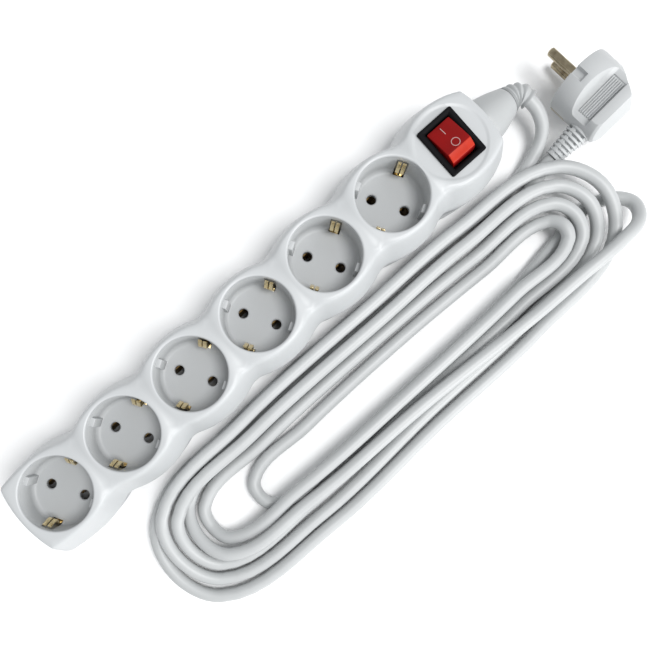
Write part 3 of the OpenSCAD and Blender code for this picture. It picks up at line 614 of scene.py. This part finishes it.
def makeCover():
    half = strip["pitch"] / 2
    cells = []
    for i, x in enumerate(socketX):
        leftHalf = x - strip["leftEnd"] if i == 0 else half
        rightHalf = strip["neckX"] - x if i == 5 else half
        cells.append(coverCell("coverCell%d" % i, x, leftHalf, rightHalf, i == 0, False, False))
    cells.append(coverCell("coverCell6", strip["switchX"], strip["switchX"] - strip["neckX"],
                           strip["rightEnd"] - strip["switchX"], False, True, True))
    cover = joinPieces(cells[0], cells[1:])
    cover.name = cover.data.name = "coverShell"
    pick(cover)
    bpy.ops.object.mode_set(mode="EDIT")
    bpy.ops.mesh.select_all(action="DESELECT")
    edit = bmesh.from_edit_mesh(cover.data)
    walls = [(a + b) / 2 for a, b in zip(socketX, socketX[1:])] + [strip["neckX"]]
    for f in edit.faces:  # the hidden walls where two cells meet
        if any(all(abs(v.co.x - w * mm) < 2e-6 for v in f.verts) for w in walls):
            f.select = True
    bmesh.update_edit_mesh(cover.data)
    bpy.ops.mesh.delete(type="FACE")
    bpy.ops.mesh.select_all(action="SELECT")
    bpy.ops.mesh.remove_doubles(threshold=0.00002)
    bpy.ops.mesh.normals_make_consistent(inside=False)
    bpy.ops.object.mode_set(mode="OBJECT")
    smoothLook(cover, 50)
    return hand(cover, "housing", "cover_white", finish["coverWhite"], "top_cover")


coverShell = makeCover()
print("cover faces:", len(coverShell.data.polygons))


# socket cups with pin holes, guide ribs and slots for the earth clips

cupLook = dict(outer=20.3, wall=19.5, wallLow=19.2, fillet=2.8, under=19.5, top=37.4,
               pinHole=2.7, pinMouth=3.25, slotW=6.2, slotIn=16.6, slotOut=20.1, slotTop=36.0,
               ribW=4.8, ribIn=2.4, ribTop=35.0, pinX=9.5, flatR=8.0, filletSteps=5)


def makeCup():
    c = cupLook
    shape = [(c["outer"], c["under"]), (c["outer"], c["top"] - 0.4), (c["outer"] - 0.3, c["top"]),
             (c["wall"] + 0.2, c["top"]), (c["wall"], c["top"] - 0.3), (c["wallLow"], floorZ + c["fillet"])]
    for k in range(1, c["filletSteps"] + 1):
        a = math.radians(90 * k / c["filletSteps"])
        inward, upward = 1 - math.cos(a), 1 - math.sin(a)
        shape.append((c["wallLow"] - c["fillet"] * inward, floorZ + c["fillet"] * upward))
    rings = [circleRing(r, z) for r, z in shape]
    rings.append(circleRing(c["flatR"], floorZ))
    cup = skinRings("socketCup", rings)
    for s in (-1, 1):
        mouth = ((c["pinMouth"] + 0.6, floorZ + 0.6), (c["pinMouth"], floorZ),
                 (c["pinHole"], floorZ - 0.55), (c["pinHole"], c["under"] - 1))
        hole = skinRings("pinHole", [circleRing(r, z, 40, s * c["pinX"]) for r, z in mouth])
        carve(cup, hole)
        slotL = c["slotOut"] - c["slotIn"]
        slot = roundedBox("clipSlot", c["slotW"], slotL, c["under"] - 1, c["slotTop"], 0.3, 0.05)
        carve(cup, place(slot, shift(0, s * (c["slotIn"] + slotL / 2))))
    softenEdges(cup, 0.22, 2, 50)
    ribs = []
    for s in (-1, 1):
        rib = roundedBox("guideRib", c["ribIn"] + 1.0, c["ribW"], floorZ - 0.2, c["ribTop"], 0.4, 0.4)
        ribs.append(place(rib, shift(s * (c["wall"] - c["ribIn"] / 2 + 0.5))))
    joinPieces(cup, ribs)
    smoothLook(cup, 38)
    return cup


cupMaster = makeCup()
for i, x in enumerate(socketX):
    cup = copyPiece(cupMaster, "socketCup%d" % (i + 1))
    place(cup, shift(x) @ turn(strip["socketTurn"], "Z"))
    hand(cup, "housing", "cup_white", finish["cupWhitePaintedShade"], "socket_cup_%d" % (i + 1))
bpy.data.objects.remove(cupMaster)
print("socket cups done")


# earth clips: forked brass springs at both sides of each recess

clipLook = dict(prongW=2.0, gap=0.7, thick=0.7, strapW=4.7, strapL=38.0, strapZ=(18.72, 19.45),
                bend=((18.7, 18.7), (18.7, 23.6), (18.2, 25.4), (16.7, 27.6), (15.7, 29.3), (15.5, 30.4),
                      (16.2, 32.6), (17.6, 35.4), (18.2, 36.5)))


def stripRings(profile, thick, x0, x1):  # a flat strip that follows a bent line in the YZ plane
    rings = []
    for i, (y, z) in enumerate(profile):
        a = Vector(profile[max(i - 1, 0)])
        b = Vector(profile[min(i + 1, len(profile) - 1)])
        along = (b - a).normalized()
        ny, nz = along.y * thick / 2, -along.x * thick / 2
        rings.append([(x0, y - ny, z - nz), (x1, y - ny, z - nz), (x1, y + ny, z + nz), (x0, y + ny, z + nz)])
    return rings


def makeClips():
    c = clipLook
    parts = []
    for s in (0, 180):
        for x0 in (-c["prongW"] - c["gap"] / 2, c["gap"] / 2):
            prong = skinRings("clipProng", stripRings(c["bend"], c["thick"], x0, x0 + c["prongW"]))
            parts.append(place(prong, turn(s, "Z")))
    strap = roundedBox("clipStrap", c["strapW"], c["strapL"], *c["strapZ"], 0.3, 0.1)
    clips = joinPieces(strap, parts)
    softenEdges(clips, 0.12, 2, 40)
    smoothLook(clips, 40)
    return clips


clipMaster = makeClips()
for i, x in enumerate(socketX):
    clips = copyPiece(clipMaster, "earthClips%d" % (i + 1))
    place(clips, shift(x) @ turn(strip["socketTurn"], "Z"))
    hand(clips, "housing", "brass", finish["stampedBrass"], "earth_clip_%d" % (i + 1))
bpy.data.objects.remove(clipMaster)
print("earth clips done")


# switch: black bezel, red rocker and its two marks

switchLook = dict(bezelW=22.6, bezelL=29.0, seat=39.56, top=41.5, wellW=15.9, wellL=23.4, wellZ=40.3,
                  boxW=20.6, boxL=27.0, boxZ=22.0, pivotZ=38.0, tilt=-11, rockerW=15.0, rockerL=20.4,
                  pivotSeatR=1.75, pivotSeatX=9.4, pivotR=1.5, faceZ=4.55, crown=0.35, stemR=2.8)
markLook = dict(dashW=0.46, dashL=4.3, dashZ=(4.62, 4.83), dashAt=(-0.4, 5.9, 0.03), ringAt=(0.3, -2.8, 0.0),
                ringShape=((2.42, 4.78), (2.38, 4.95), (2.2, 4.98), (2.02, 4.95), (1.98, 4.78)))


def makeBezel():
    s = switchLook
    w, l, top, wellW, wellL = s["bezelW"], s["bezelL"], s["top"], s["wellW"], s["wellL"]
    rings = [boxRing(s["boxW"], s["boxL"], s["boxZ"], 0.5), boxRing(s["boxW"], s["boxL"], s["seat"], 0.5),
             boxRing(w - 0.2, l - 0.2, s["seat"], 0.9), boxRing(w, l, s["seat"] + 0.3, 1.0),
             boxRing(w, l, top - 0.6, 1.0), boxRing(w - 0.35, l - 0.35, top - 0.17, 0.95),
             boxRing(w - 1.2, l - 1.2, top, 0.8), boxRing(wellW + 2.4, wellL + 2.2, top - 0.05, 0.7),
             boxRing(wellW + 1.7, wellL + 1.5, top - 0.3, 0.6),
             boxRing(wellW + 0.2, wellL + 0.2, s["wellZ"], 0.4),
             boxRing(wellW, wellL, s["wellZ"] - 0.3, 0.4), boxRing(wellW, wellL, s["boxZ"] + 2.0, 0.4)]
    bezel = skinRings("switchBezel", rings)
    for way in (-1, 1):  # seats for the rocker's pivots
        ends = (wellW / 2 - 2, s["pivotSeatX"])
        hole = skinRings("pivotSeat", [circleRing(s["pivotSeatR"], x, 32) for x in ends])
        carve(bezel, place(hole, shift(0, 0, s["pivotZ"]) @ turn(90 * way, "Y")))
    place(bezel, shift(strip["switchX"]))
    smoothLook(bezel, 35)
    return hand(bezel, "housing", "black_plastic", finish["bezelBlack"], "switch_frame")


makeBezel()
rockerFrame = shift(strip["switchX"], 0, switchLook["pivotZ"]) @ turn(switchLook["tilt"], "X")


def makeRocker():
    s = switchLook
    half, face = s["rockerL"] / 2, s["faceZ"]
    outline = [(half - 0.4, -3.6), (half, -2.0), (half, 3.9), (half - 0.25, 4.4), (half - 0.9, face)]
    for k in range(1, 9):
        rise = s["crown"] * math.sin(math.pi * 0.5 * k / 8)
        outline.append((half - 0.9 - (half + 4.5) * k / 8, face + rise))
    outline += [(-5.9, 4.82), (-6.3, 4.66), (-9.3, 2.7), (-9.9, 2.1), (-half, 1.3), (-half, -2.0),
                (-half + 0.4, -3.6)]
    wide = s["rockerW"] / 2

    def ring(x, inset):
        cy, cz = 0.0, 0.6
        return [(x, y - math.copysign(min(inset, abs(y)), y - cy), z - math.copysign(inset, z - cz))
                for y, z in outline]

    rings = [ring(-wide, 0.45), ring(-wide + 0.12, 0.16), ring(-wide + 0.45, 0),
             ring(wide - 0.45, 0), ring(wide - 0.12, 0.16), ring(wide, 0.45)]
    body = skinRings("rockerRed", rings)
    body.data.materials.append(finish["rockerRed"])
    body.data.materials.append(finish["rockerPaintedHighlight"])
    for f in body.data.polygons:  # the sloped end, which faces the lamps, takes the lighter red that also emits a little: a painted highlight
        c = f.center
        if -9.9 * mm < c.y < -6.0 * mm and f.normal.z > 0.5 and f.normal.y < -0.2:
            f.material_index = 1
    stem = skinRings("rockerStem", [circleRing(s["stemR"], z, 32) for z in (-8.4, -3.0)])
    pivots = []
    for way in (-1, 1):
        ends = ((s["pivotR"], wide - 0.5), (s["pivotR"], wide + 1.4), (s["pivotR"] - 0.2, wide + 1.6))
        pivot = skinRings("rockerPivot", [circleRing(r, x, 32) for r, x in ends])
        pivots.append(place(pivot, turn(90 * way, "Y")))
    for piece in (stem, *pivots):
        piece.data.materials.append(finish["rockerRed"])
    joinPieces(body, [stem, *pivots])
    smoothLook(body, 30)
    place(body, rockerFrame)
    return hand(body, "rocker", "red_plastic", None, "rocker")


makeRocker()


def makeMarks():
    m = markLook
    dash = roundedBox("markOn", m["dashW"], m["dashL"], *m["dashZ"], 0.2, 0.06)
    place(dash, rockerFrame @ shift(*m["dashAt"]))
    turns = [circleRing(r, z, 48) for r, z in m["ringShape"]]
    ring = skinRings("markOff", turns, capStart=False, capEnd=False)
    pick(ring)
    bpy.ops.object.mode_set(mode="EDIT")
    bpy.ops.mesh.select_all(action="DESELECT")
    bpy.ops.mesh.select_non_manifold()
    bpy.ops.mesh.bridge_edge_loops()
    bpy.ops.mesh.select_all(action="SELECT")
    bpy.ops.mesh.normals_make_consistent(inside=False)
    bpy.ops.object.mode_set(mode="OBJECT")
    place(ring, rockerFrame @ shift(*m["ringAt"]))
    for mark in (dash, ring):
        smoothLook(mark, 40)
        hand(mark, "rocker", "red_plastic", finish["markPale"])


makeMarks()
print("switch done")


# boot and ribbed bend relief where the cord leaves the strip

bootLook = dict(root=13.5, tip=8.4, swell=0.5, ribs=5, reliefR=8.3, reliefTip=5.6, ribRise=1.15)


def makeBoot():
    b, x0 = bootLook, strip["rightEnd"]
    run = strip["bootTip"] - x0
    shape = [(-3.4, 10.5), (-3.4, 13.0), (-1.2, 13.7), (1.0, b["root"])]
    for k in range(1, 9):
        f = k / 9
        r = b["root"] + (b["tip"] - b["root"]) * f + b["swell"] * math.sin(math.pi * f)
        shape.append((1.0 + (run - 1.4) * f, r))
    shape += [(run - 0.7, 8.55), (run - 0.2, 8.2), (run, 7.6), (run, 5.0)]
    rings = [[(x0 + x, y, z + strip["exitZ"]) for y, z, _ in circleRing(r, 0, 72)] for x, r in shape]
    boot = skinRings("cableBoot", rings)
    smoothLook(boot, 40)
    return hand(boot, "housing", "boot_white", finish["bootWhite"], "cable_boot")


def sweepRings(path, radii, count=40):
    rings = []
    for i, p in enumerate(path):
        along = (path[min(i + 1, len(path) - 1)] - path[max(i - 1, 0)]).normalized()
        side = along.cross(Vector((0, 0, 1))).normalized()
        up = side.cross(along)
        ring = []
        for k in range(count):
            a = 2 * math.pi * k / count
            ring.append(p + radii[i] * (math.cos(a) * up + math.sin(a) * side))
        rings.append(ring)
    return rings


def makeRelief():
    b, steps = bootLook, 24
    path = smoothPath(reliefPoints + [leadPoints[0]], steps)[:steps * (len(reliefPoints) - 1) + 1]
    radii = []
    for i in range(len(path)):
        f = i / (len(path) - 1)
        wave = math.cos(2 * math.pi * b["ribs"] * f) * 0.5 + 0.5
        r = b["reliefR"] + (b["reliefTip"] - b["reliefR"]) * f ** 0.8
        radii.append(r - b["ribRise"] * (1 - wave ** 0.7))
    relief = skinRings("bendRelief", sweepRings(path, radii))
    smoothLook(relief, 60)
    return hand(relief, "housing", "boot_white", finish["bootWhite"], "bend_relief")


cableBoot = makeBoot()
bendRelief = makeRelief()
print("boot and bend relief done")


# plug: round front, flanks cut in for the fingers, ribbed grip and strain relief

plugLook = dict(flankStart=11.0, gripY=10.2, gripFrom=14.9, gripTo=24.5, wallY=13.6, ribs=6, gripW=22,
                grooveW=5, grooveL=7.5)
reliefLook = dict(collar=((-1.0, 7.0), (0.0, 7.2), (3.6, 7.1), (4.4, 6.9)),
                  ribs=7, start=4.8, core=4.3, ribR=6.6, taper=1.5,
                  webHalf=1.1, webLow=3.8, webHigh=(6.3, 4.85), webTurns=(20, 110, 200, 290))
plugMatrix = Matrix.Translation([c * mm for c in plugAt]) @ plugFrame.to_3x3().to_4x4()


def makePlug():
    p, s = plugLook, plugSet
    r = s["r"]
    far = -s["depth"]
    shape = ((r - 1.0, 0), (r - 0.3, -0.3), (r, -1.0), (r, -s["front"]), (r - 0.2, -21), (r - 0.7, far + 3),
             (r - 1.2, far + 1.2), (r - 2.4, far))
    body = skinRings("plugBody", [circleRing(radius, z, 112) for radius, z in shape])
    back = [(-r - 3, -s["front"] + 1), (-r, -s["front"]), (-s["back"], far - 0.5), (-s["back"], far - 3),
            (-r - 3, far - 3)]
    carve(body, skinRings("backCut", [[(x, y, z) for x, z in back] for y in (-r - 3, r + 3)]))
    for side in (1, -1):
        outline = [(r + 4, -p["flankStart"] + 1.2), (r + 0.2, -p["flankStart"]),
                   (p["gripY"] + 1.6, -p["gripFrom"] + 1.2), (p["gripY"], -p["gripFrom"] - 0.6),
                   (p["gripY"] - 0.3, -p["gripTo"] + 0.8), (p["gripY"], -p["gripTo"]),
                   (p["wallY"], -p["gripTo"] - 0.7), (p["wallY"] - 0.5, far - 2), (r + 4, far - 2)]
        flank = skinRings("flankCut", [[(x, side * y, z) for y, z in outline] for x in (-r - 3, r + 3)])
        carve(body, flank)
        groove = roundedBox("grooveCut", p["grooveW"], 6.0, -p["grooveL"], 2.0, 1.2, 0.4)
        carve(body, place(groove, shift(0, side * (r + 0.6))))
        low, high = -p["gripTo"] + 0.5, -p["gripFrom"] - 0.5
        pocket = roundedBox("gripPocket", p["gripW"] + 1.2, 1.8, low, high, 0.8, 0.3)
        carve(body, place(pocket, shift(0, side * (p["gripY"] + 0.2))))
    softenEdges(body, 0.55, 3, 28)
    smoothLook(body, 40)
    place(body, plugMatrix)
    return hand(body, "housing", "plug_white", finish["plugWhite"], "plug_body")


def makeGrip():
    p = plugLook
    ribs = []
    pitch = (p["gripTo"] - p["gripFrom"] - 1.4) / p["ribs"]
    for side in (1, -1):
        for k in range(p["ribs"]):
            z = -p["gripTo"] + 0.7 + (k + 0.5) * pitch
            rib = roundedBox("gripRib", p["gripW"], 1.7, z - 0.27 * pitch, z + 0.27 * pitch, 0.5, 0.28)
            ribs.append(place(rib, shift(0, side * (p["gripY"] - 0.6))))
    grip = joinPieces(ribs[0], ribs[1:])
    grip.name = grip.data.name = "plugGrip"
    smoothLook(grip, 45)
    place(grip, plugMatrix)
    return hand(grip, "housing", "plug_white", finish["plugWhite"], "plug_grip")


def makePlugRelief():
    s, c = plugSet, reliefLook
    shape = list(c["collar"])
    count, core, start, stop = c["ribs"], c["core"], c["start"], s["reliefL"] - 0.2
    pitch = (stop - start) / count
    for k in range(count):
        x = start + k * pitch
        r = c["ribR"] - c["taper"] * k / (count - 1)
        shape += [(x, core), (x + 0.36 * pitch, core), (x + 0.38 * pitch, r - 0.3), (x + 0.46 * pitch, r),
                  (x + 0.88 * pitch, r), (x + 0.97 * pitch, r - 0.3)]
    shape += [(stop, core), (stop, 3.6)]
    rings = [[(s["reliefX"] + x, y, z + s["cordZ"]) for y, z, _ in circleRing(r, 0, 48)] for x, r in shape]
    relief = skinRings("plugRelief", rings)
    webs = []
    wide, low = c["webHalf"], c["webLow"]
    for a in c["webTurns"]:  # bars that tie the ribs together and leave windows between them
        ends = []
        for x, high in zip((start - 0.4, stop - 0.8), c["webHigh"]):
            corners = ((-wide, low), (wide, low), (wide, high), (-wide, high))
            ends.append([(x, y, z) for y, z in corners])
        webs.append(place(skinRings("reliefWeb", ends), shift(s["reliefX"], 0, s["cordZ"]) @ turn(a, "X")))
    joinPieces(relief, webs)
    smoothLook(relief, 35)
    place(relief, plugMatrix)
    return hand(relief, "housing", "plug_white", finish["plugWhite"], "plug_relief")


plugBody = makePlug()
plugGrip = makeGrip()
plugRelief = makePlugRelief()
print("plug done")


# finishes for the CAD pieces that stay

kept = {
    "baseWhite": ["base_tray"],
    "innerBrassPaintedShade": ["live_bar", "neutral_bar", "earth_bar", "contact_lever", "switch_terminals"],
    "zincSteel": ["clamp_screws", "housing_screws", "plunger_spring"],
    "plugMetalPaintedReflection": ["plug_pins", "plug_earth_strips"],
    "ivoryPlain": ["plunger"], "clampGrey": ["cord_clamp"], "cordWhite": ["cord_stub"],
    "wireBrown": ["live_wire"], "wireBlue": ["neutral_wire"], "wireGreen": ["earth_wire"],
    "wireBlack": ["switched_wire"],
}
for look, names in kept.items():
    for name in names:
        nodes[name].data.materials.clear()
        nodes[name].data.materials.append(finish[look])


# pale floor and soft studio light

stageLook = dict(floor=(0.96, 0.96, 0.96), floorSize=40, floorDrop=0.0003, floorRough=0.9,
                 aim=(0.02, -0.05, 0), key=dict(at=(0.45, -0.7, 2.1), size=1.1, power=36.0),
                 side=dict(at=(0.5, -2.0, 0.8), size=0.9, power=24.0), sky=0.52, skyTone=(0.96, 0.98, 1.0))
clearSelection()
bpy.ops.mesh.primitive_plane_add(size=stageLook["floorSize"], location=(0, 0, -stageLook["floorDrop"]))
floor = bpy.context.object
floor.name = "studioFloor"
floorMaterial = bpy.data.materials.new("floorPale")
floorMaterial.use_nodes = True
floorShader = floorMaterial.node_tree.nodes["Principled BSDF"]
floorShader.inputs["Base Color"].default_value = (*stageLook["floor"], 1)
floorShader.inputs["Roughness"].default_value = stageLook["floorRough"]
floor.data.materials.append(floorMaterial)


def softLamp(name, look):
    clearSelection()
    bpy.ops.object.light_add(type="AREA", location=look["at"])
    lamp = bpy.context.object
    lamp.name = name
    lamp.data.shape = "DISK"
    lamp.data.size = look["size"]
    lamp.data.energy = look["power"]
    lamp.rotation_euler = (Vector(stageLook["aim"]) - Vector(look["at"])).to_track_quat("-Z", "Y").to_euler()


softLamp("keyLamp", stageLook["key"])
softLamp("sideLamp", stageLook["side"])
world = bpy.data.worlds.new("studioWorld")
bpy.context.scene.world = world
world.use_nodes = True
sky = world.node_tree.nodes["Background"]
sky.inputs["Color"].default_value = (*stageLook["skyTone"], 1)
sky.inputs["Strength"].default_value = stageLook["sky"]
bpy.context.scene.view_settings.view_transform = "Standard"
